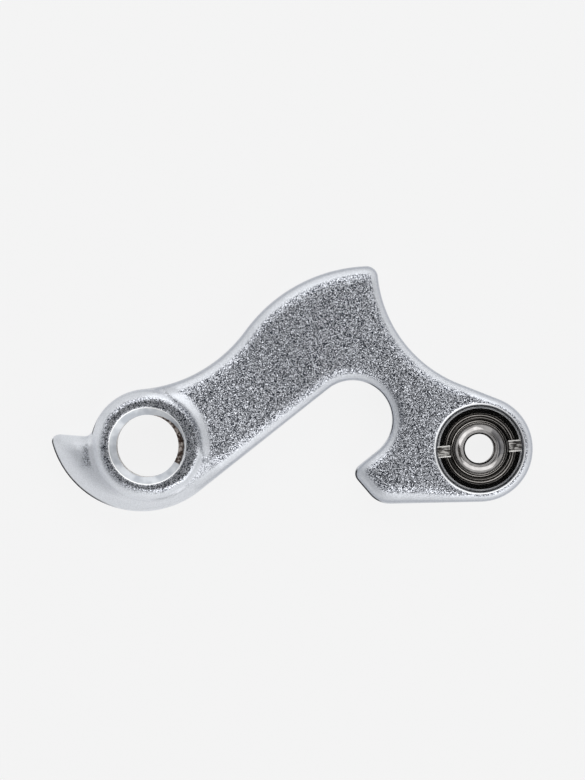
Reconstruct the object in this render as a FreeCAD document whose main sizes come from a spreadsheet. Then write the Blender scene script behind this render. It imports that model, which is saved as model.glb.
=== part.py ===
import FreeCAD, Part
import os
import Sketcher
from FreeCAD import Placement, Rotation, Vector
from math import acos, atan2, cos, hypot, pi, sin, sqrt

# Rear derailleur hanger of a bicycle, lying on its frame side with the outer side up.
# Origin: axis of the derailleur thread, on the frame-side face. Millimetres, +Z outwards.

SIZES = [
    ("plate_thickness", 6.0, "arm, stop tooth and hook"),
    ("boss_radius", 8.15, "round boss about the derailleur thread"),
    ("boss_shoulder", 1.6, "rounded shoulder of the boss"),
    ("boss_crest", 0.25, "height of the rounded upper half of the boss's side, towards the arm"),
    ("boss_foot", 0.25, "height of the hollow lower half of the boss's side, towards the arm"),
    ("boss_side", 0.75, "width of each half of the boss's side, towards the arm"),
    ("boss_curve", 1.25, "radius of each half of the boss's side, towards the arm"),
    ("boss_inset", 1.95, "from the boss's radius in to the crest of that side"),
    ("foot_x", 0.75, "centre of the boss's side towards the arm, from the thread axis"),
    ("foot_y", 0.0, "centre of the boss's side towards the arm, from the thread axis"),
    ("thread_radius", 4.46, "half the minor diameter of the M10 x 1 thread"),
    ("thread_mouth", 1.09, "width of the thread's countersink on the outer side"),
    ("thread_mouth_depth", 0.63, "depth of the thread's countersink on the outer side"),
    ("thread_back_mouth", 0.4, "countersink of the thread on the frame side"),
    ("eye_x", 47.55, "fixing hole, from the thread axis"),
    ("eye_y", -0.4, "fixing hole, from the thread axis"),
    ("eye_radius", 7.6, "round end of the arm about the fixing hole"),
    ("flank_x", 51.3, "centre of the hollow flank between peak and eye"),
    ("flank_y", 26.05, "centre of the hollow flank between peak and eye"),
    ("flank_radius", 18.4, "hollow flank between peak and eye"),
    ("peak_radius", 1.65, "upper corner of the arm"),
    ("crown_x", 32.1, "centre of the long crown of the arm"),
    ("crown_y", 3.4, "centre of the long crown of the arm"),
    ("crown_radius", 22.35, "long crown of the arm"),
    ("saddle_radius", 20.55, "hollow between boss and crown"),
    ("stop_corner_y", 2.75, "height of the centre of the corner beside the boss"),
    ("stop_corner_radius", 1.4, "corner between boss and stop face"),
    ("stop_tip_y", 1.72, "height of the stop face at the tip of the tooth"),
    ("stop_tip_round", 1.0, "rounded tip of the stop tooth"),
    ("heel_x", -0.9, "centre of the round heel below the boss"),
    ("heel_y", 3.9, "centre of the round heel below the boss"),
    ("heel_radius", 13.3, "round heel below the boss and the stop tooth"),
    ("notch_x", 29.4, "centre of the axle notch"),
    ("notch_y", 3.7, "centre of the axle notch"),
    ("notch_radius", 5.7, "axle notch"),
    ("claw_x", 29.15, "corner of the hook before its tip is rounded"),
    ("claw_y", -3.8, "corner of the hook before its tip is rounded"),
    ("claw_round", 1.4, "rounded tip of the hook"),
    ("hook_x", 34.7, "centre of the lower corner of the hook"),
    ("hook_y", -4.6, "centre of the lower corner of the hook"),
    ("hook_radius", 3.7, "lower corner of the hook"),
    ("stop_rim", 1.6, "rounded outer rim along the stop face and the boss"),
    ("saddle_rim", 2.0, "rounded outer rim along the saddle"),
    ("crown_rim", 1.5, "rounded outer rim along the crown and the peak"),
    ("flank_rim", 1.3, "rounded outer rim along the flank and the eye"),
    ("hook_rim", 2.2, "rounded outer rim along the back of the hook"),
    ("notch_rim", 1.3, "rounded outer rim along the axle notch"),
    ("belly_rim", 2.1, "rounded outer rim between belly and heel"),
    ("heel_rim", 2.8, "rounded outer rim along the heel, at the tooth"),
    ("back_edge", 0.4, "chamfer round the machined face on the frame side"),
    ("flange_clearance", 0.2, "gap round the flange of the nut in its recess"),
    ("seat_depth", 2.4, "recess for the flange, below the outer face of the arm"),
    ("seat_lead_in", 0.3, "width of the chamfer at the mouth of the recess"),
    ("seat_lead_depth", 0.17, "depth of the chamfer at the mouth of the recess"),
    ("flange_radius", 6.05, "flange of the nut"),
    ("flange_thickness", 2.0, "flange of the nut"),
    ("flange_edge", 0.25, "chamfer of the flange"),
    ("shank_radius", 4.0, "shank of the nut"),
    ("shank_clearance", 0.05, "play of the shank in its hole, all round"),
    ("shank_recess", 0.3, "how far the shank ends short of the frame-side face"),
    ("nut_thread_radius", 2.1, "half the minor diameter of the M5 thread"),
    ("nut_back_mouth", 0.4, "countersink of the thread at the end of the shank"),
    ("cone_mouth", 0.95, "width of the flange's flat face"),
    ("cone_width", 0.6, "turned cone inside the flat face"),
    ("land_width", 0.25, "narrow land inside the cone"),
    ("well_width", 0.55, "flat shelf inside and below the land"),
    ("well_depth", 1.1, "flat shelf inside the land, below the flange's face"),
    ("lip_width", 0.2, "flat lip round the mouth of the nut's thread"),
    ("dish_depth", 0.7, "hollow dish inside the shelf"),
    ("dish_curve", 1.7, "radius of the hollow dish"),
    ("slot_width", 1.65, "spanner slot across the flange"),
    ("slot_depth", 1.0, "spanner slot across the flange"),
    ("nut_turn", 4.8, "degrees by which the slots stand off the X axis"),
    ("overrun", 1.0, "how far a cut runs past the face that it leaves"),
]


def fill_sheet(doc):
    """Driving dimensions, one row each: name, value and meaning."""
    sheet = doc.addObject("Spreadsheet::Sheet", "sizes")
    for row, (name, value, meaning) in enumerate(SIZES, start=1):
        sheet.set(f"A{row}", name)
        sheet.set(f"B{row}", str(value))
        sheet.set(f"C{row}", meaning)
        sheet.setAlias(f"B{row}", name)
    doc.recompute()
    return {name: getattr(sheet, name) for name, _, _ in SIZES}


def amount(size, terms):
    """Value of a sum of named sizes, such as 'plate_thickness - seat_depth'."""
    total, sign = 0.0, 1
    for word in terms.split():
        if word in "+-":
            sign = 1 if word == "+" else -1
        else:
            total += sign * size[word]
    return total


def cells(terms):
    """The same sum as an expression on the sheet."""
    return " ".join(word if word in "+-" else "sizes." + word for word in terms.split())


def bind(thing, **properties):
    """Tie properties of a feature to sums of named sizes."""
    for name, terms in properties.items():
        thing.setExpression(name, cells(terms))


def dimension(sketch, size, kind, references, terms):
    """Add one dimension to a sketch and tie it to a sum of named sizes."""
    index = sketch.addConstraint(Sketcher.Constraint(kind, *references, amount(size, terms)))
    sketch.setExpression(f"Constraints[{index}]", cells(terms))


def new_sketch(body, name, role):
    """Sketch on one of the body's own origin planes."""
    sketch = body.newObject("Sketcher::SketchObject", name)
    plane = next(item for item in body.Origin.OriginFeatures if item.Role == role)
    sketch.AttachmentSupport = (plane, [""])
    sketch.MapMode = "FlatFace"
    return sketch


# Outline of the plate

# Rounding of the plate's outer rim where each circle of the outline begins and ends
RIMS = {
    "stop_tip": ("heel_rim", "stop_rim"),
    "stop_corner": ("stop_rim", "stop_rim"),
    "boss": ("stop_rim", "stop_rim"),
    "saddle": ("saddle_rim", "saddle_rim"),
    "crown": ("crown_rim", "crown_rim"),
    "peak": ("crown_rim", "crown_rim"),
    "flank": ("flank_rim", "flank_rim"),
    "eye": ("flank_rim", "flank_rim"),
    "hook": ("hook_rim", "hook_rim"),
    "claw": ("hook_rim", "notch_rim"),
    "notch": ("notch_rim", "notch_rim"),
    "heel": ("belly_rim", "heel_rim"),
}

def tangent(first, second):
    """Ends of the straight run from one circle to the next, walking clockwise round the plate."""
    (ax, ay), ar = first
    (bx, by), br = second
    lean = max(-1.0, min(1.0, round((br - ar) / hypot(bx - ax, by - ay), 9)))
    turn = atan2(by - ay, bx - ax) - acos(lean)
    out = Vector(cos(turn), sin(turn), 0)
    return Vector(ax, ay, 0) - out * ar, Vector(bx, by, 0) - out * br


def beside(circle, radius, height):
    """Circle that touches another one on its left, with its centre at a given height."""
    (cx, cy), cr = circle
    return (cx - sqrt((cr - radius) ** 2 - (height - cy) ** 2), height), radius


def between(first, second, radius):
    """Circle that touches two others, on the left of the line from the first to the second."""
    (ax, ay), ar = first
    (bx, by), br = second
    span = hypot(bx - ax, by - ay)
    along = (span ** 2 + (ar - radius) ** 2 - (br - radius) ** 2) / (2 * span)
    across = sqrt((ar - radius) ** 2 - along ** 2)
    ux, uy = (bx - ax) / span, (by - ay) / span
    return (ax + along * ux - across * uy, ay + along * uy + across * ux), radius


def outline_circles(size):
    """Circles clockwise round the plate: name, circle and what places it.

    A hollow has a negative radius and a sharp corner has none.
    """
    def placed(name, sign):
        return (size[name + "_x"], size[name + "_y"]), sign * size.get(name + "_radius", 0.0)

    boss = (0.0, 0.0), size["boss_radius"]
    crown, flank, heel = placed("crown", 1), placed("flank", -1), placed("heel", 1)
    return [
        ("stop_tip", beside(heel, 0.0, size["stop_tip_y"]), "y"),
        ("stop_corner", beside(boss, -size["stop_corner_radius"], size["stop_corner_y"]), "y"),
        ("boss", boss, "origin"),
        ("saddle", between(boss, crown, -size["saddle_radius"]), ""),
        ("crown", crown, "xy"),
        ("peak", between(crown, flank, size["peak_radius"]), ""),
        ("flank", flank, "xy"),
        ("eye", placed("eye", 1), "xy"),
        ("hook", placed("hook", 1), "xy"),
        ("claw", placed("claw", 1), "xy"),
        ("notch", placed("notch", -1), "xy"),
        ("heel", heel, "xy"),
    ]


def arc_between(circle, start, end):
    """Arc of an outline circle from start to end, and its middle point."""
    (cx, cy), radius = circle
    centre = Vector(cx, cy, 0)
    first, last = (end, start) if radius > 0 else (start, end)
    low = atan2(first.y - cy, first.x - cx)
    high = low + (atan2(last.y - cy, last.x - cx) - low) % (2 * pi)
    middle = centre + Vector(cos((low + high) / 2), sin((low + high) / 2), 0) * abs(radius)
    return Part.ArcOfCircle(Part.Circle(centre, Vector(0, 0, 1), abs(radius)), low, high), middle


def outline_runs(size):
    """Arcs and straight runs of the outline in order, with the rim's rounding at both ends of each."""
    rows = outline_circles(size)
    runs = []
    for index, (name, circle, place) in enumerate(rows):
        before, after = rows[index - 1], rows[(index + 1) % len(rows)]
        start, (end, reach) = tangent(before[1], circle)[1], tangent(circle, after[1])
        arrives_straight = tangent(before[1], circle)[0].distanceToPoint(start) > 1e-6
        leaves_straight = end.distanceToPoint(reach) > 1e-6
        rim_start, rim_end = (size[rim] for rim in RIMS[name])
        next_rim = size[RIMS[after[0]][0]]
        if circle[1]:
            if not arrives_straight and before[1][1]:
                rim_start = (rim_start + size[RIMS[before[0]][1]]) / 2
            arc_end = rim_end if leaves_straight or not after[1][1] else (rim_end + next_rim) / 2
            shape, middle = arc_between(circle, start, end)
            runs.append({"name": name, "place": place, "shape": shape, "middle": middle, "start": start,
                         "ends": (2, 1) if circle[1] > 0 else (1, 2), "rims": (rim_start, arc_end),
                         "smooth": arrives_straight or bool(before[1][1])})
        if leaves_straight:
            runs.append({"name": name, "place": place, "shape": Part.LineSegment(end, reach),
                         "middle": (end + reach) * 0.5, "start": end, "ends": (1, 2),
                         "rims": (rim_end, next_rim), "smooth": bool(circle[1])})
    return runs


def draw_outline(sketch, size, runs):
    """Outline of the plate: tangent arcs and straight runs, placed by their centres and radii."""
    sketch.addGeometry([run["shape"] for run in runs], False)
    for index, run in enumerate(runs):
        joint = (index - 1) % len(runs), runs[index - 1]["ends"][1], index, run["ends"][0]
        sketch.addConstraint(Sketcher.Constraint("Tangent" if run["smooth"] else "Coincident", *joint))
        is_arc = isinstance(run["shape"], Part.ArcOfCircle)
        if is_arc:
            dimension(sketch, size, "Radius", (index,), run["name"] + "_radius")
        if is_arc and run["place"] == "origin":
            sketch.addConstraint(Sketcher.Constraint("Coincident", index, 3, -1, 1))
        if is_arc or not run["smooth"]:
            point = 3 if is_arc else run["ends"][0]
            if run["place"] == "xy":
                dimension(sketch, size, "DistanceX", (-1, 1, index, point), run["name"] + "_x")
            if run["place"] in ("xy", "y"):
                dimension(sketch, size, "DistanceY", (-1, 1, index, point), run["name"] + "_y")


# Hanger

def edge_near(shape, point):
    """Number of the edge whose own points come nearest to a point."""
    gaps = [edge.distToShape(Part.Vertex(point))[0] for edge in shape.Edges]
    return gaps.index(min(gaps)) + 1


def make_plate(doc, size):
    """Arm, stop tooth and hook, with an outer rim whose rounding changes along the outline."""
    runs = outline_runs(size)
    outline = doc.addObject("Sketcher::SketchObject", "outline")
    draw_outline(outline, size, runs)
    blank = doc.addObject("Part::Extrusion", "blank")
    blank.Base = outline
    blank.DirMode = "Normal"
    blank.Solid = True
    bind(blank, LengthFwd="plate_thickness")
    doc.recompute()

    rim = doc.addObject("Part::Fillet", "rounded_rim")
    rim.Base = blank
    lift = Vector(0, 0, size["plate_thickness"])
    spec = [(edge_near(blank.Shape, run["middle"] + lift), *run["rims"]) for run in runs]
    sharp = {run["name"]: run["start"] for run in runs if not run["smooth"]}
    for corner in ("stop_tip", "claw"):
        radius = size[corner + "_round"]
        spec.append((edge_near(blank.Shape, sharp[corner] + lift * 0.5), radius, radius))
    rim.Edges = spec
    doc.recompute()

    plate = doc.addObject("Part::Chamfer", "broken_back")
    plate.Base = rim
    width = size["back_edge"]
    for number, edge in enumerate(rim.Shape.Edges, start=1):
        if edge.BoundBox.ZMax < width / 2:
            plate.Edges = plate.Edges + [(number, width, width)]
    doc.recompute()
    return plate


def draw_profile(sketch, size, corners):
    """Closed profile through corners: radius, height and, where an arc leaves, its radius and turn."""
    points = [Vector(amount(size, radius), amount(size, height), 0) for radius, height, *_ in corners]
    for index, (radius, height, *arc) in enumerate(corners):
        start, end = points[index], points[(index + 1) % len(points)]
        if arc:
            sketch.addGeometry(quarter_arc(start, end, size[arc[0]], arc[1]), False)
        else:
            sketch.addGeometry(Part.LineSegment(start, end), False)
    leaving = [2 if len(corner) > 2 and corner[3] > 0 else 1 for corner in corners]
    for index, (radius, height, *arc) in enumerate(corners):
        before = index - 1 if index else len(corners) - 1
        joint = before, 3 - leaving[before], index, leaving[index]
        sketch.addConstraint(Sketcher.Constraint("Coincident", *joint))
        if radius:
            dimension(sketch, size, "DistanceX", (-1, 1, index, leaving[index]), radius)
        else:
            sketch.addConstraint(Sketcher.Constraint("PointOnObject", index, leaving[index], -2))
        dimension(sketch, size, "DistanceY", (-1, 1, index, leaving[index]), height)
        if arc:
            dimension(sketch, size, "Radius", (index,), arc[0])


def quarter_arc(start, end, radius, turn):
    """Arc from start to end, clockwise where turn is 1 and anticlockwise where it is -1."""
    chord = end - start
    across = Vector(chord.y, -chord.x, 0) / chord.Length * turn
    centre = (start + end) * 0.5 + across * sqrt(radius ** 2 - chord.Length ** 2 / 4)
    first, last = (end, start) if turn > 0 else (start, end)
    low = atan2(first.y - centre.y, first.x - centre.x)
    high = low + (atan2(last.y - centre.y, last.x - centre.x) - low) % (2 * pi)
    return Part.ArcOfCircle(Part.Circle(centre, Vector(0, 0, 1), radius), low, high)


def turned(body, size, name, kind, corners, centre=""):
    """Turn a profile about the Z axis, or about an upright axis at a named centre, to add or to cut."""
    sketch = new_sketch(body, name + "_profile", "XZ_Plane")
    if centre:
        bind(sketch, **{"AttachmentOffset.Base.x": centre + "_x",
                        "AttachmentOffset.Base.z": "- " + centre + "_y"})
    draw_profile(sketch, size, corners)
    feature = body.newObject("PartDesign::" + kind, name)
    feature.Profile = sketch
    feature.ReferenceAxis = (sketch, ["V_Axis"])
    feature.Angle = 360
    body.Tip = feature
    return feature


def make_hanger(doc, size):
    """The forged hanger: plate, boss, threaded hole, hook and recessed fixing hole."""
    body = doc.addObject("PartDesign::Body", "hanger")
    body.BaseFeature = make_plate(doc, size)
    doc.recompute()
    top, crest = "plate_thickness + boss_foot + boss_crest", "boss_radius - boss_inset"
    turned(body, size, "boss", "Revolution", [
        ("thread_radius - overrun", "overrun"),
        ("thread_radius - overrun", top),
        ("boss_radius - boss_shoulder", top, "boss_shoulder", 1),
        ("boss_radius", top + " - boss_shoulder"),
        ("boss_radius", "overrun"),
    ])
    turned(body, size, "hollow_foot", "Revolution", [
        ("thread_radius + overrun", "plate_thickness - overrun"),
        ("thread_radius + overrun", top),
        (crest, top, "boss_curve", 1),
        (crest + " + boss_side", "plate_thickness + boss_foot", "boss_curve", -1),
        (crest + " + boss_side + boss_side", "plate_thickness"),
        (crest + " + boss_side + boss_side", "plate_thickness - overrun"),
    ], "foot")
    turned(body, size, "thread_hole", "Groove", [
        ("", top + " + overrun"),
        ("thread_radius + thread_mouth", top + " + overrun"),
        ("thread_radius + thread_mouth", top),
        ("thread_radius", top + " - thread_mouth_depth"),
        ("thread_radius", "thread_back_mouth"),
        ("thread_radius + thread_back_mouth + overrun", "- overrun"),
        ("", "- overrun"),
    ])
    turned(body, size, "nut_seat", "Groove", [
        ("", "plate_thickness + overrun"),
        ("flange_radius + flange_clearance + seat_lead_in", "plate_thickness + overrun"),
        ("flange_radius + flange_clearance + seat_lead_in", "plate_thickness"),
        ("flange_radius + flange_clearance", "plate_thickness - seat_lead_depth"),
        ("flange_radius + flange_clearance", "plate_thickness - seat_depth"),
        ("shank_radius + shank_clearance", "plate_thickness - seat_depth"),
        ("shank_radius + shank_clearance", "- overrun"),
        ("", "- overrun"),
    ], "eye")
    return body


# Nut

def draw_slot(sketch, size):
    """Rectangle about the origin, as wide as the slot and longer than the flange."""
    x, y = size["flange_radius"] + size["overrun"], size["slot_width"] / 2
    corners = [Vector(-x, -y, 0), Vector(x, -y, 0), Vector(x, y, 0), Vector(-x, y, 0)]
    sketch.addGeometry([Part.LineSegment(corners[i], corners[(i + 1) % 4]) for i in range(4)], False)
    for index, kind in enumerate(("Horizontal", "Vertical", "Horizontal", "Vertical")):
        sketch.addConstraint(Sketcher.Constraint("Coincident", index, 2, (index + 1) % 4, 1))
        sketch.addConstraint(Sketcher.Constraint(kind, index))
    sketch.addConstraint(Sketcher.Constraint("Symmetric", 0, 1, 1, 2, -1, 1))
    dimension(sketch, size, "DistanceX", (0, 1, 0, 2), "flange_radius + flange_radius + overrun + overrun")
    dimension(sketch, size, "DistanceY", (1, 1, 1, 2), "slot_width")


def make_nut(doc, size):
    """The turned steel nut: flange with two spanner slots, dished mouth and threaded shank."""
    body = doc.addObject("PartDesign::Body", "slotted_nut")
    face = "plate_thickness - seat_depth + flange_thickness"
    cone = "flange_radius - cone_mouth - cone_width"
    well = "flange_radius - cone_mouth - cone_width - land_width - well_width"
    turned(body, size, "nut_blank", "Revolution", [
        ("nut_thread_radius", face + " - well_depth - dish_depth"),
        ("nut_thread_radius", "shank_recess + nut_back_mouth"),
        ("nut_thread_radius + nut_back_mouth", "shank_recess"),
        ("shank_radius - flange_edge", "shank_recess"),
        ("shank_radius", "shank_recess + flange_edge"),
        ("shank_radius", "plate_thickness - seat_depth"),
        ("flange_radius", "plate_thickness - seat_depth"),
        ("flange_radius", face + " - flange_edge"),
        ("flange_radius - flange_edge", face),
        ("flange_radius - cone_mouth", face),
        (cone, face + " - cone_width"),
        (cone + " - land_width", face + " - cone_width"),
        (cone + " - land_width", face + " - well_depth"),
        (well, face + " - well_depth", "dish_curve", 1),
        ("nut_thread_radius + lip_width", face + " - well_depth - dish_depth"),
    ])
    slot = new_sketch(body, "slot_outline", "XY_Plane")
    bind(slot, **{"AttachmentOffset.Base.z": face + " - slot_depth"})
    draw_slot(slot, size)
    cut = body.newObject("PartDesign::Pocket", "spanner_slots")
    cut.Profile = slot
    cut.Reversed = True
    bind(cut, Length="slot_depth + overrun")
    body.Tip = cut
    body.Placement = Placement(Vector(0, 0, 0), Rotation(Vector(0, 0, 1), size["nut_turn"]))
    bind(body, **{"Placement.Base.x": "eye_x", "Placement.Base.y": "eye_y",
                  "Placement.Rotation.Angle": "nut_turn"})
    return body


def main():
    doc = FreeCAD.newDocument("derailleur_hanger")
    size = fill_sheet(doc)
    pieces = [make_hanger(doc, size), make_nut(doc, size)]
    doc.recompute()
    failed = [item.Name for item in doc.Objects if {"Invalid", "Error"} & set(item.State)]
    failed += [piece.Label for piece in pieces if piece.Shape.isNull() or not piece.Shape.isValid()]
    if failed:
        raise RuntimeError("failed: " + ", ".join(failed))
    os.makedirs("parts", exist_ok=True)
    for piece in pieces:
        piece.Shape.exportStep(os.path.join("parts", piece.Label + ".step"))
        print(piece.Label, round(piece.Shape.Volume, 2), "mm3")


main()
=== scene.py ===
"""Bicycle derailleur hanger with its slotted fixing nut, lying outer side up on a pale floor."""

import math

import bmesh
import bpy
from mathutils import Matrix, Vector


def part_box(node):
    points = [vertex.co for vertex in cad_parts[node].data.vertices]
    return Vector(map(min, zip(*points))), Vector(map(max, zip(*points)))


MM = 0.001

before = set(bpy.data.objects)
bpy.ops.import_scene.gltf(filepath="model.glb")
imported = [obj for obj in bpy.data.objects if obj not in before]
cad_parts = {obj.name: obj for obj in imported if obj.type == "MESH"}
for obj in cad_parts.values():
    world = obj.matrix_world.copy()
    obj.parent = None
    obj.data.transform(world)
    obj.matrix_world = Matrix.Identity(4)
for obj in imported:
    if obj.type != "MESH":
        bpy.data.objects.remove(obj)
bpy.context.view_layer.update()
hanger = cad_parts["hanger"]
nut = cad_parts["slotted_nut"]
nut_low, nut_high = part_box("slotted_nut")
nut_axis = (nut_low + nut_high) / 2
thread_axis = Vector((0, 0, 0))

# Sizes on the solids that the finishes, the threads and the camera go by
ARM_FACE = 6.0 * MM
COUNTERSINK_EDGE = 5.6 * MM
SEAT_EDGE = 6.56 * MM
FRAME_SIDE_EDGE = 0.4 * MM
THREAD_CREST = 4.46 * MM
SCREW_CREST = 2.1 * MM
SLOT_FLOOR = 4.6 * MM
SHELF_EDGE = 4.2 * MM

# Level directions on the hanger, as seen from above
TO_TOOTH = (-0.8, -0.6, 0)
TO_HEEL = (-0.2, -0.98, 0)
TO_ARM = (0.86, 0.51, 0)
TO_LEFT = (-0.92, -0.38, 0)
ACROSS_SLOTS = (-0.0837, 0.9965, 0)

# Length of one band of a wave texture at a scale of 1
WAVE_LENGTH = math.pi / 10


# Nodes and colours

def linear(code):
    """Linear colour of an sRGB hex code."""
    tones = [int(code[i:i + 2], 16) / 255 for i in (1, 3, 5)]
    return tuple(t / 12.92 if t <= 0.04045 else ((t + 0.055) / 1.055) ** 2.4 for t in tones) + (1.0,)


def add(tree, kind, inputs=(), **settings):
    """Add one shader node with its settings; an input is a value or the socket that feeds it."""
    node = tree.nodes.new("ShaderNode" + kind)
    for name, value in settings.items():
        setattr(node, name, value)
    for name, value in dict(inputs).items():
        if isinstance(value, bpy.types.NodeSocket):
            tree.links.new(value, node.inputs[name])
        else:
            node.inputs[name].default_value = value
    return node


def new_material(name):
    """Empty node material and its tree."""
    material = bpy.data.materials.new(name)
    material.use_nodes = True
    tree = material.node_tree
    tree.nodes.clear()
    return material, tree


# Zones and layers of a finish

def from_axis(tree, place, axis):
    """Level way from an upright axis to a point, and its length."""
    apart = add(tree, "VectorMath", {0: place, 1: axis}, operation="SUBTRACT").outputs["Vector"]
    way = add(tree, "VectorMath", {0: apart, 1: (1, 1, 0)}, operation="MULTIPLY").outputs["Vector"]
    return way, add(tree, "VectorMath", {0: way}, operation="LENGTH").outputs["Value"]


def zone(tree, *edges):
    """How far a point lies inside a zone, from 0 to 1. Each edge of the zone is a measure, where
    it starts to count and where it counts in full."""
    share = 1.0
    for measure, start, full in edges:
        fade = add(tree, "MapRange", {"Value": measure, "From Min": start, "From Max": full},
                   interpolation_type="SMOOTHSTEP").outputs["Result"]
        share = add(tree, "Math", {0: share, 1: fade}, operation="MULTIPLY").outputs[0]
    return share


def whole(tree, *zones):
    """All that lies in one zone or another, each with the share of it that counts."""
    total = 0.0
    for share, weight in zones:
        part = add(tree, "Math", {0: share, 1: weight}, operation="MULTIPLY").outputs[0]
        total = add(tree, "Math", {0: total, 1: part}, operation="MAXIMUM").outputs[0]
    return total


def layered(tree, ground, *layers):
    """Colour of a surface: its ground, and the layers over it, each with the share it covers."""
    colour = linear(ground)
    for share, layer in layers:
        cover = linear(layer) if isinstance(layer, str) else layer
        colour = add(tree, "Mix", {"Factor": share, "A": colour, "B": cover},
                     data_type="RGBA").outputs["Result"]
    return colour


# Finishes

def worn_places(tree, place, from_thread, along_arm):
    """Where use and tumbling have rubbed the dents away: the heel, the stop tooth, the boss's
    outer and upper side, and the corner between the boss and the arm's lower edge."""
    at = add(tree, "SeparateXYZ", {"Vector": place}).outputs
    to_tooth = add(tree, "VectorMath", {0: place, 1: TO_TOOTH},
                   operation="DOT_PRODUCT").outputs["Value"]
    to_heel = add(tree, "VectorMath", {0: place, 1: TO_HEEL},
                  operation="DOT_PRODUCT").outputs["Value"]
    heel = zone(tree, (to_heel, 3.0 * MM, 5.5 * MM), (from_thread, 6.0 * MM, 8.0 * MM))
    tooth = zone(tree, (at["X"], -7.5 * MM, -10.0 * MM))
    outer_side = zone(tree, (from_thread, 5.7 * MM, 7.3 * MM), (from_thread, 9.0 * MM, 8.2 * MM),
                      (to_tooth, 0.5 * MM, 4.5 * MM))
    upper_side = zone(tree, (from_thread, 6.0 * MM, 7.3 * MM), (from_thread, 9.0 * MM, 8.2 * MM),
                      (at["Y"], 3.0 * MM, 5.0 * MM), (along_arm, 5.5 * MM, 1.5 * MM))
    corner = zone(tree, (from_thread, 6.8 * MM, 7.8 * MM), (from_thread, 12 * MM, 9.0 * MM),
                  (at["Y"], -0.8 * MM, -2.4 * MM))
    return whole(tree, (heel, 1.0), (tooth, 0.92), (outer_side, 1.0), (upper_side, 0.5), (corner, 0.5))


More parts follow.
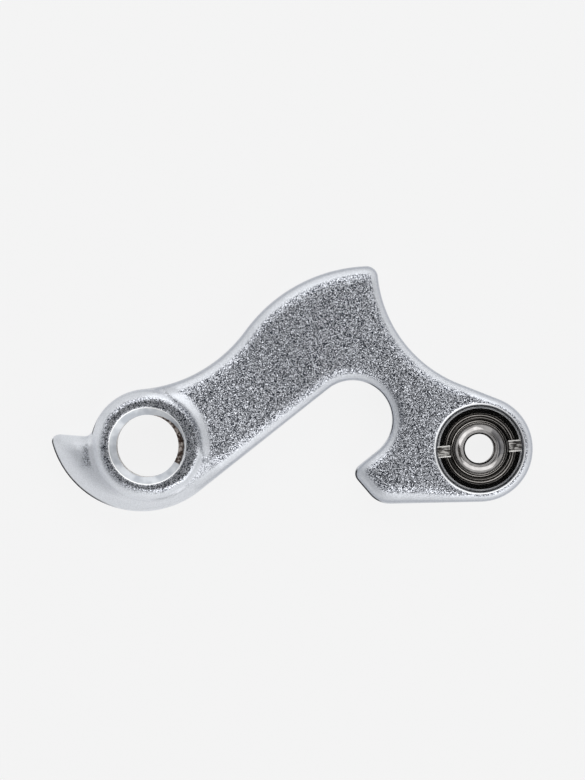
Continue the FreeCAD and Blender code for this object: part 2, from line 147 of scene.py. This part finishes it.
def shot_blasted_aluminium():
    """Forged aluminium, shot-blasted and then tumbled: flat faces keep small dents, each tilted
    its own way; their dark and light base colours are painted glints that stand in for what each
    dent reflects. Rounded rims are rubbed to a plain pale sheen that fades into the face, with
    painted shade on the steep part of the rounding and on the boss's side towards the arm; the
    heel is worn so smooth that it turns down towards its edge, and the edges that face left carry
    a painted dark line. The dents are drawn at a tenth of a millimetre, the finest that still shows."""
    material, tree = new_material("shot_blasted_aluminium")
    place = add(tree, "TexCoord").outputs["Object"]
    soft_edge = add(tree, "Bevel", {"Radius": 0.6 * MM}, samples=8).outputs["Normal"]
    wide_edge = add(tree, "Bevel", {"Radius": 1.7 * MM}, samples=8).outputs["Normal"]
    upright = add(tree, "SeparateXYZ", {"Vector": soft_edge}).outputs["Z"]
    level = add(tree, "Math", {0: upright}, operation="ABSOLUTE").outputs[0]
    way, from_thread = from_axis(tree, place, thread_axis)
    from_nut = from_axis(tree, place, nut_axis)[1]
    along_arm = add(tree, "VectorMath", {0: place, 1: TO_ARM},
                    operation="DOT_PRODUCT").outputs["Value"]

    # The boss's side towards the arm is blasted, and rubbed only at its foot
    worn = worn_places(tree, place, from_thread, along_arm)
    towards_arm = (along_arm, 5.6 * MM, 7.0 * MM)
    side = zone(tree, (from_thread, 6.9 * MM, 7.1 * MM), (from_thread, 8.8 * MM, 8.5 * MM), towards_arm)
    # Painted shade: the boss's side towards the arm is darkened where its slope would otherwise show too
    # bright
    painted_side_shade = zone(tree, (from_thread, 6.9 * MM, 7.2 * MM), (from_thread, 8.3 * MM, 7.4 * MM), towards_arm)
    foot = zone(tree, (from_thread, 7.1 * MM, 8.3 * MM), (from_thread, 9.6 * MM, 8.4 * MM), towards_arm)
    beside_seat = zone(tree, (from_nut, 7.0 * MM, 6.7 * MM))
    open_face = zone(tree, (from_nut, 7.6 * MM, 8.4 * MM), (from_thread, 8.2 * MM, 9.2 * MM))
    # Painted shade: the steep part of the rims is darkened, standing in for the grey low surroundings it
    # reflects
    painted_rim_shade = zone(tree, (level, 0.3, 0.45), (level, 0.72, 0.58))

    # How much of the dents is kept, never quite nothing
    faintest = 0.12
    blasted = whole(tree, (zone(tree, (level, 0.91, 0.998)), 1.0), (side, 1.0), (beside_seat, 0.8))
    rubbed = whole(tree, (worn, 1.0), (foot, 1.0))
    spared = add(tree, "MapRange", {"Value": rubbed, "From Min": 0.2, "From Max": 1.0, "To Min": 1.0,
                                    "To Max": faintest},
                 interpolation_type="SMOOTHSTEP").outputs["Result"]
    remaining = add(tree, "Math", {0: blasted, 1: spared}, operation="MULTIPLY").outputs[0]
    kept = add(tree, "Math", {0: remaining, 1: faintest}, operation="MAXIMUM").outputs[0]

    # Colour
    dents = add(tree, "TexVoronoi", {"Vector": place, "Scale": 1 / (0.1 * MM)}).outputs["Color"]
    glitter = add(tree, "SeparateXYZ", {"Vector": dents}).outputs["X"]
    # The dents' dark and light colours are painted glints, standing in for what each dent reflects; their
    # tilt is real
    grain_with_painted_glints = layered(tree, "#1F2734", (zone(tree, (glitter, 0.15, 0.85)), "#E0E3EA"),
                    (whole(tree, (painted_side_shade, 0.35)), "#3A3E47"))
    metal = layered(tree, "#D3D6DB", (painted_rim_shade, "#BCC0C8"), (worn, "#E9ECF1"), (kept, grain_with_painted_glints))

    # Facing: each dent's own tilt, the fall of the worn parts and the rounding of the rims that
    # runs on into the face
    uneven = add(tree, "VectorMath", {0: dents, 1: (0.5, 0.5, 0.5)}, operation="SUBTRACT").outputs["Vector"]
    beside_boss = zone(tree, (from_thread, 8.0 * MM, 10.0 * MM), (from_thread, 26 * MM, 11 * MM))
    on_arm = add(tree, "MapRange", {"Value": beside_boss, "To Min": 0.36, "To Max": 0.44}).outputs["Result"]
    on_boss = add(tree, "MapRange", {"Value": from_thread, "From Min": 7.0 * MM, "From Max": 9.0 * MM,
                                     "To Min": 0.66, "To Max": 1.0}).outputs["Result"]
    steepest = add(tree, "Math", {0: on_arm, 1: on_boss}, operation="MULTIPLY").outputs[0]
    tilt = add(tree, "Math", {0: steepest, 1: kept}, operation="MULTIPLY").outputs[0]
    outwards = add(tree, "VectorMath", {0: way}, operation="NORMALIZE").outputs["Vector"]
    fall = add(tree, "MapRange", {"Value": rubbed, "From Max": 0.45, "To Max": 0.4},
               interpolation_type="SMOOTHSTEP").outputs["Result"]
    rounding = add(tree, "VectorMath", {0: wide_edge, 1: soft_edge}, operation="SUBTRACT").outputs["Vector"]
    running_on = add(tree, "Math", {0: open_face, 1: 3.0}, operation="MULTIPLY").outputs[0]
    waves = add(tree, "TexNoise", {"Vector": place, "Scale": 1 / (3.0 * MM), "Detail": 2.0}).outputs["Fac"]
    facing = add(tree, "Bump", {"Height": waves, "Distance": 0.02 * MM,
                                "Normal": soft_edge}).outputs["Normal"]
    for turn, amount in ((uneven, tilt), (outwards, fall), (rounding, running_on)):
        push = add(tree, "VectorMath", {0: turn, "Scale": amount}, operation="SCALE").outputs["Vector"]
        facing = add(tree, "VectorMath", {0: facing, 1: push}, operation="ADD").outputs["Vector"]
    facing = add(tree, "VectorMath", {0: facing}, operation="NORMALIZE").outputs["Vector"]
    satin = add(tree, "MapRange", {"Value": kept, "To Min": 0.46, "To Max": 0.32}).outputs["Result"]
    bare = add(tree, "BsdfPrincipled", {"Base Color": metal, "Metallic": 1.0,
                                        "Roughness": satin, "Normal": facing})

    # Painted shade: a thin dark matt layer on the edges that face left, shown only at a glancing angle, in
    # place of the dark reflection along those edges
    to_left = add(tree, "VectorMath", {0: soft_edge, 1: TO_LEFT}, operation="DOT_PRODUCT").outputs["Value"]
    glancing = add(tree, "LayerWeight", {"Normal": soft_edge}).outputs["Facing"]
    left_edge_painted_shade = zone(tree, (upright, 0.03, 0.1), (upright, 0.5, 0.33), (to_left, 0.55, 0.8),
                     (glancing, 0.4, 0.6))
    painted_dark_line = add(tree, "BsdfDiffuse", {"Color": linear("#26282D")})
    surface = add(tree, "MixShader", {"Fac": left_edge_painted_shade, 1: bare.outputs[0], 2: painted_dark_line.outputs[0]})
    add(tree, "OutputMaterial", {"Surface": surface.outputs[0]})
    return material


def cut_aluminium():
    """Aluminium cut with a turning tool: clean and pale, with rings left by the tool, drawn three
    quarters of a millimetre apart so that they show. The dark inner part of the seat's chamfer is
    painted shade, and a bright line on the seat and one round the countersink are painted highlights."""
    material, tree = new_material("cut_aluminium")
    place = add(tree, "TexCoord").outputs["Object"]
    rings = add(tree, "TexWave", {"Vector": place, "Scale": WAVE_LENGTH / (0.754 * MM),
                                  "Distortion": 0.6, "Detail": 2.0}, bands_direction="Z").outputs["Fac"]
    marks = add(tree, "Bump", {"Height": rings, "Distance": 0.004 * MM}).outputs["Normal"]
    smears = add(tree, "TexNoise", {"Vector": place, "Scale": 1 / (1.8 * MM),
                                    "Detail": 2.0}).outputs["Fac"]
    height = add(tree, "SeparateXYZ", {"Vector": place}).outputs["Z"]
    from_nut = from_axis(tree, place, nut_axis)[1]
    from_thread = from_axis(tree, place, thread_axis)[1]
    # Painted shade in the seat's chamfer, and painted highlights on the seat's outer line and round the
    # countersink
    seat_mouth_painted_shade = zone(tree, (height, 5.7 * MM, 5.85 * MM), (from_nut, 9.0 * MM, 8.0 * MM))
    painted_seat_highlight = zone(tree, (seat_mouth_painted_shade, 0.0, 1.0), (from_nut, 6.30 * MM, 6.38 * MM))
    painted_countersink_highlight = zone(tree, (from_thread, 5.36 * MM, 5.48 * MM), (from_thread, 6.0 * MM, 5.7 * MM))
    metal = layered(tree, "#B0B4BA", (zone(tree, (smears, 0.35, 0.65)), "#CED1D5"),
                    (seat_mouth_painted_shade, "#626467"), (painted_seat_highlight, "#ECEDEF"), (painted_countersink_highlight, "#F4F5F5"))
    surface = add(tree, "BsdfPrincipled", {"Base Color": metal, "Metallic": 1.0,
                                           "Roughness": 0.5, "Normal": marks})
    add(tree, "OutputMaterial", {"Surface": surface.outputs[0]})
    return material


def tapped_metal(name, dull, clean):
    """Metal torn by a tap: rough, and darker in the low parts of its torn surface."""
    material, tree = new_material(name)
    place = add(tree, "TexCoord").outputs["Object"]
    tears = add(tree, "TexNoise", {"Vector": place, "Scale": 1 / (0.5 * MM),
                                   "Detail": 4.0}).outputs["Fac"]
    torn = add(tree, "Bump", {"Height": tears, "Distance": 0.12 * MM}).outputs["Normal"]
    tear_tone = layered(tree, dull, (zone(tree, (tears, 0.4, 0.65)), clean))
    surface = add(tree, "BsdfPrincipled", {"Base Color": tear_tone, "Metallic": 1.0,
                                           "Roughness": 0.45, "Normal": torn})
    add(tree, "OutputMaterial", {"Surface": surface.outputs[0]})
    return material


def turned_steel():
    """Free-cutting steel turned bright: near-mirror faces with rings left by the tool, drawn a
    third of a millimetre apart so that they show. They are coarse on the shelf round the dish,
    where their dark and light colours are painted shade and highlight; the dish's lip and rim are
    duller, the step on the shelf is painted shade, and the flange's broken edge carries a painted
    bright line."""
    material, tree = new_material("turned_steel")
    place = add(tree, "TexCoord").outputs["Object"]
    reach = from_axis(tree, place, nut_axis)[1]
    coarse = zone(tree, (reach, 3.62 * MM, 3.72 * MM), (reach, 5.15 * MM, 5.05 * MM))
    # Painted shade on the step at the edge of the shelf
    step = zone(tree, (reach, 4.12 * MM, 4.28 * MM), (reach, 4.52 * MM, 4.36 * MM))
    # Painted highlight on the flange's broken edge
    painted_edge_highlight = zone(tree, (reach, 5.76 * MM, 5.84 * MM))
    lip = zone(tree, (reach, 2.28 * MM, 2.34 * MM), (reach, 2.72 * MM, 2.5 * MM))
    rim = zone(tree, (reach, 3.3 * MM, 3.5 * MM), (reach, 3.85 * MM, 3.7 * MM))

    ring_spacing = 0.36 * MM
    wander = add(tree, "TexNoise", {"Vector": place, "Scale": 1 / (1.2 * MM), "Detail": 2.0}).outputs["Fac"]
    feed = add(tree, "Math", {0: reach, 1: 2 * math.pi / ring_spacing, 2: wander},
               operation="MULTIPLY_ADD").outputs[0]
    swing = add(tree, "Math", {0: feed}, operation="SINE").outputs[0]
    rings = zone(tree, (swing, -0.6, 1.0))
    depth = add(tree, "MapRange", {"Value": coarse, "To Min": 0.04, "To Max": 1.0}).outputs["Result"]
    marks = add(tree, "Bump", {"Height": rings, "Strength": depth,
                               "Distance": 0.03 * MM}).outputs["Normal"]
    # The coarse rings' dark and light colours are painted shade and highlight across each ring
    ring_shade_and_highlight = layered(tree, "#2E2C2A", (rings, "#B9B5B1"))
    metal = layered(tree, "#92908F", (zone(tree, (wander, 0.3, 0.7)), "#ABA9A8"), (coarse, ring_shade_and_highlight),
                    (step, "#3B3937"), (painted_edge_highlight, "#F2F0EE"))
    rough = add(tree, "MapRange", {"Value": whole(tree, (lip, 1.0), (rim, 0.25)), "To Min": 0.11,
                                   "To Max": 0.5}).outputs["Result"]
    surface = add(tree, "BsdfPrincipled", {"Base Color": metal, "Metallic": 1.0,
                                           "Roughness": rough, "Normal": marks})
    add(tree, "OutputMaterial", {"Surface": surface.outputs[0]})
    return material


def broached_steel():
    """Floor and walls of the spanner slots: steel pushed out by a broach, scored along the slot,
    with a painted highlight along its two edges."""
    material, tree = new_material("broached_steel")
    place = add(tree, "TexCoord").outputs["Object"]
    along = add(tree, "Mapping", {"Vector": place, "Scale": (0.3, 1.0, 0.3)}).outputs["Vector"]
    scores = add(tree, "TexNoise", {"Vector": along, "Scale": 1 / (0.28 * MM), "Detail": 3.0}).outputs["Fac"]
    marks = add(tree, "Bump", {"Height": scores, "Distance": 0.04 * MM}).outputs["Normal"]
    way = from_axis(tree, place, nut_axis)[0]
    across = add(tree, "VectorMath", {0: way, 1: ACROSS_SLOTS}, operation="DOT_PRODUCT").outputs["Value"]
    aside = add(tree, "Math", {0: across}, operation="ABSOLUTE").outputs[0]
    # A painted highlight along the slot's two edges
    metal = layered(tree, "#3E3B39", (zone(tree, (scores, 0.42, 0.62)), "#D2D0CD"),
                    (zone(tree, (aside, 0.60 * MM, 0.72 * MM)), "#F4F3F1"))
    surface = add(tree, "BsdfPrincipled", {"Base Color": metal, "Metallic": 1.0,
                                           "Roughness": 0.5, "Normal": marks})
    add(tree, "OutputMaterial", {"Surface": surface.outputs[0]})
    return material


# Threads

def strip(name, sections, finish):
    """Closed strip from four-cornered sections set one behind the other, kept out of sight."""
    mesh = bmesh.new()
    rows = [[mesh.verts.new(corner) for corner in section] for section in sections]
    for before, after in zip(rows, rows[1:]):
        for corner in range(4):
            following = (corner + 1) % 4
            mesh.faces.new((before[corner], before[following], after[following], after[corner]))
    mesh.faces.new(rows[0][::-1])
    mesh.faces.new(rows[-1])
    bmesh.ops.recalc_face_normals(mesh, faces=mesh.faces)
    data = bpy.data.meshes.new(name)
    mesh.to_mesh(data)
    mesh.free()
    data.materials.append(finish)
    cutter = bpy.data.objects.new(name, data)
    bpy.context.scene.collection.objects.link(cutter)
    cutter.hide_render = True
    cutter.hide_viewport = True
    return cutter


def around(centre, radius, turn, height):
    """Point at a radius, turn and height about an upright axis."""
    return centre.x + radius * math.cos(turn), centre.y + radius * math.sin(turn), height


def thread_groove(name, centre, pitch, crest, root, low, high, lead, finish):
    """Groove of a right-handed 60 degree thread, cut from a height down to a lower one; lead is
    the turn, in degrees, at which it comes out at the top. The strip starts inside the bore, and
    at its root it leaves a flat of an eighth of the pitch."""
    opening = crest - 0.12 * MM
    steps_a_turn = 64
    narrow = pitch / 16
    wide = narrow + (root - opening) * math.tan(math.radians(30))
    sections = []
    for step in range(round((high - low) / pitch * steps_a_turn), -1, -1):
        turn = math.radians(lead) - step / steps_a_turn * 2 * math.pi
        height = high - step / steps_a_turn * pitch
        sections.append([around(centre, opening, turn, height - wide),
                         around(centre, root, turn, height - narrow),
                         around(centre, root, turn, height + narrow),
                         around(centre, opening, turn, height + wide)])
    return strip(name, sections, finish)


def torn_start(name, finish):
    """Torn crescent in the countersink, with a ragged outer edge: it starts at nothing, has its
    full width over its last third and ends in a step."""
    steps = 56
    thin_end = 78
    wide_end = -30
    thinnest = 0.02 * MM
    widest = 0.8 * MM
    inner = 4.2 * MM
    bottom = 5.3 * MM
    shelf = 5.45 * MM
    top = 6.6 * MM
    sections = []
    for step in range(steps + 1):
        turn = math.radians(thin_end + (wide_end - thin_end) * step / steps)
        ragged = (0.03 * math.sin(step * 2.3) + 0.02 * math.sin(step * 5.1)) * min(1.0, step / 12) * MM
        width = thinnest + (widest - thinnest) * min(1.0, step / 36) + ragged
        outer = THREAD_CREST + width
        sections.append([around(thread_axis, inner, turn, bottom),
                         around(thread_axis, outer - 0.2 * width, turn, shelf),
                         around(thread_axis, outer + 0.1 * MM, turn, top),
                         around(thread_axis, inner, turn, top)])
    return strip(name, sections, finish)


def cut_threads(piece, *cutters):
    """Cut grooves out of a solid, whose faces are joined for it, then split the sharp edges so
    that they stay crisp between smooth faces."""
    join = piece.modifiers.new("joined", "WELD")
    join.merge_threshold = 0.0005 * MM
    for cutter in cutters:
        groove = piece.modifiers.new(cutter.name, "BOOLEAN")
        groove.object = cutter
        groove.operation = "DIFFERENCE"
        groove.solver = "EXACT"
        groove.material_mode = "TRANSFER"
    crisp = piece.modifiers.new("crisp_edges", "EDGE_SPLIT")
    crisp.split_angle = math.radians(25)
    crisp.use_edge_sharp = False


# Dress the solids

def dress(piece, finishes, choose):
    """Give a solid its finishes and choose one of them for each of its faces."""
    piece.data.materials.clear()
    for finish in finishes:
        piece.data.materials.append(finish)
    for face in piece.data.polygons:
        face.material_index = choose(face)


def hanger_finish(face):
    """0 blasted, 1 cut: the countersinks, the bore, the nut's seat and the frame-side face."""
    at_thread = (face.center - thread_axis).xy.length < COUNTERSINK_EDGE
    at_seat = (face.center - nut_axis).xy.length < SEAT_EDGE
    return int(at_thread or at_seat or face.center.z < FRAME_SIDE_EDGE)


def nut_finish(face):
    """0 turned, 1 broached: the floors and walls of the two spanner slots."""
    way = (face.center - nut_axis).xy
    height = face.center.z
    hair = 0.02 * MM
    in_slot = way.length > SHELF_EDGE and SLOT_FLOOR - hair < height < nut_high.z - hair
    floor = abs(height - SLOT_FLOOR) < hair
    wall = abs(face.normal.z) < 0.1
    turned_wall = abs(face.normal.xy.dot(way)) > 0.9 * way.length
    return int(in_slot and (floor or wall and not turned_wall))


blasted = shot_blasted_aluminium()
cut = cut_aluminium()
tapped = tapped_metal("tapped_aluminium", "#A9A6A3", "#DDDBD9")
torn = tapped_metal("torn_aluminium", "#41352F", "#B3AAA4")
turned = turned_steel()
broached = broached_steel()
tapped_nut = tapped_metal("tapped_steel", "#3C3835", "#85807C")

dress(hanger, [blasted, cut, tapped, torn], hanger_finish)
dress(nut, [turned, broached, tapped_nut], nut_finish)

derailleur_thread = thread_groove("derailleur_thread", thread_axis, pitch=1.0 * MM, crest=THREAD_CREST,
                                  root=5.0 * MM, low=-1.0 * MM, high=5.2 * MM, lead=-30, finish=tapped)
screw_thread = thread_groove("screw_thread", nut_axis, pitch=0.8 * MM, crest=SCREW_CREST,
                             root=2.5 * MM, low=-0.5 * MM, high=3.7 * MM, lead=20, finish=tapped_nut)
cut_threads(hanger, derailleur_thread, torn_start("thread_start", torn))
cut_threads(nut, screw_thread)


# Floor, light and camera

# The photograph: its size in pixels, its scale on the arm's face and the place in its middle
PICTURE_HEIGHT = 780
PIXELS_TO_MM = 7.0
picture_middle = Vector((20.757, 8.0, 0)) * MM


def sheet(name, corners, finish):
    """Flat or folded stage piece from its corners, four to a face."""
    data = bpy.data.meshes.new(name)
    data.from_pydata(corners, [], [tuple(range(i, i + 4)) for i in range(0, len(corners), 4)])
    data.materials.append(finish)
    piece = bpy.data.objects.new(name, data)
    bpy.context.scene.collection.objects.link(piece)
    return piece


def seen(tree):
    """1 for the rays that show a surface to the eye, straight, by reflection or through glass."""
    rays = add(tree, "LightPath").outputs
    straight = add(tree, "Math", {0: rays["Is Camera Ray"], 1: rays["Is Glossy Ray"]},
                   operation="MAXIMUM").outputs[0]
    return add(tree, "Math", {0: straight, 1: rays["Is Transmission Ray"]},
               operation="MAXIMUM").outputs[0]


def paper(name, code, glow=0.0):
    """Matt studio paper; glow is the share of its own colour that it shows whatever falls on it."""
    material, tree = new_material(name)
    surface = add(tree, "BsdfDiffuse", {"Color": linear(code)})
    if glow:
        lit = add(tree, "Emission", {"Color": linear(code)})
        share = add(tree, "Math", {0: seen(tree), 1: glow}, operation="MULTIPLY").outputs[0]
        surface = add(tree, "MixShader", {"Fac": share, 1: surface.outputs[0], 2: lit.outputs[0]})
    add(tree, "OutputMaterial", {"Surface": surface.outputs[0]})
    return material


def overhead(name, half, height, finish):
    """Square card above the object, hidden from the camera, that its flat faces show."""
    x, y = picture_middle.xy
    card = sheet(name, [(x - half, y - half, height), (x - half, y + half, height),
                        (x + half, y + half, height), (x + half, y - half, height)], finish)
    card.visible_camera = False


def band(name, radius, low, high, start, end, finish):
    """Curved card round the object, hidden from the camera, that the metal shows as a shaded side."""
    steps = 48
    corners = []
    for step in range(steps):
        here = math.radians(start + (end - start) * step / steps)
        there = math.radians(start + (end - start) * (step + 1) / steps)
        corners += [around(picture_middle, radius, here, low), around(picture_middle, radius, there, low),
                    around(picture_middle, radius, there, high), around(picture_middle, radius, here, high)]
    card = sheet(name, corners, finish)
    card.visible_camera = False


def softbox(name, azimuth, height, width, depth, watts):
    """Lamp behind a diffuser, a metre from the object and turned towards it."""
    data = bpy.data.lights.new(name, "AREA")
    data.shape = "RECTANGLE"
    data.size = width
    data.size_y = depth
    data.energy = watts
    turn = math.radians(azimuth)
    rise = math.radians(height)
    way = Vector((math.cos(turn) * math.cos(rise), math.sin(turn) * math.cos(rise), math.sin(rise)))
    lamp = bpy.data.objects.new(name, data)
    lamp.location = picture_middle + way
    lamp.rotation_mode = "QUATERNION"
    lamp.rotation_quaternion = way.to_track_quat("Z", "Y")
    lamp.visible_camera = False
    bpy.context.scene.collection.objects.link(lamp)


floor_reach = 3.0
sheet("floor", [(-floor_reach, -floor_reach, 0), (floor_reach, -floor_reach, 0),
                (floor_reach, floor_reach, 0), (-floor_reach, floor_reach, 0)],
      paper("white_paper", "#F7F7F7", glow=0.92))
overhead("overhead_card", half=0.24, height=0.7, finish=paper("black_card", "#1C1C1C"))
band("left_card", radius=1.0, low=0.25, high=1.9, start=165, end=240,
     finish=paper("blue_white_card", "#F8F9FC"))
band("left_shade", radius=0.95, low=0.9, high=1.5, start=155, end=210,
     finish=paper("grey_card", "#B6BAC2"))
band("right_shade", radius=0.95, low=0.6, high=1.7, start=-12, end=38,
     finish=paper("warm_grey_card", "#8A8885"))
softbox("top_softbox", azimuth=82, height=50, width=1.6, depth=0.6, watts=3.9)
softbox("side_softbox", azimuth=310, height=48, width=1.0, depth=0.6, watts=2.7)

# White tent round it all: it lights the object at about a third of the strength that it shows
world = bpy.data.worlds.new("studio")
bpy.context.scene.world = world
world.use_nodes = True
tent = world.node_tree
tent.nodes.clear()
strength = add(tent, "MapRange", {"Value": seen(tent), "To Min": 0.35, "To Max": 1.0}).outputs["Result"]
sky = add(tent, "Background", {"Color": linear("#F4F4F4"), "Strength": strength})
add(tent, "OutputWorld", {"Surface": sky.outputs[0]})

# Camera straight above; the sensor's width lies along the picture's longer side, its height
view = bpy.data.cameras.new("camera")
camera = bpy.data.objects.new("camera", view)
camera_height = 0.63
camera.location = picture_middle + Vector((0, 0, camera_height))
view.sensor_width = 36
view.lens = view.sensor_width * (camera_height - ARM_FACE) / (PICTURE_HEIGHT / PIXELS_TO_MM * MM)
view.clip_start = 0.01
bpy.context.scene.collection.objects.link(camera)
bpy.context.scene.camera = camera
bpy.context.scene.view_settings.view_transform = "Standard"
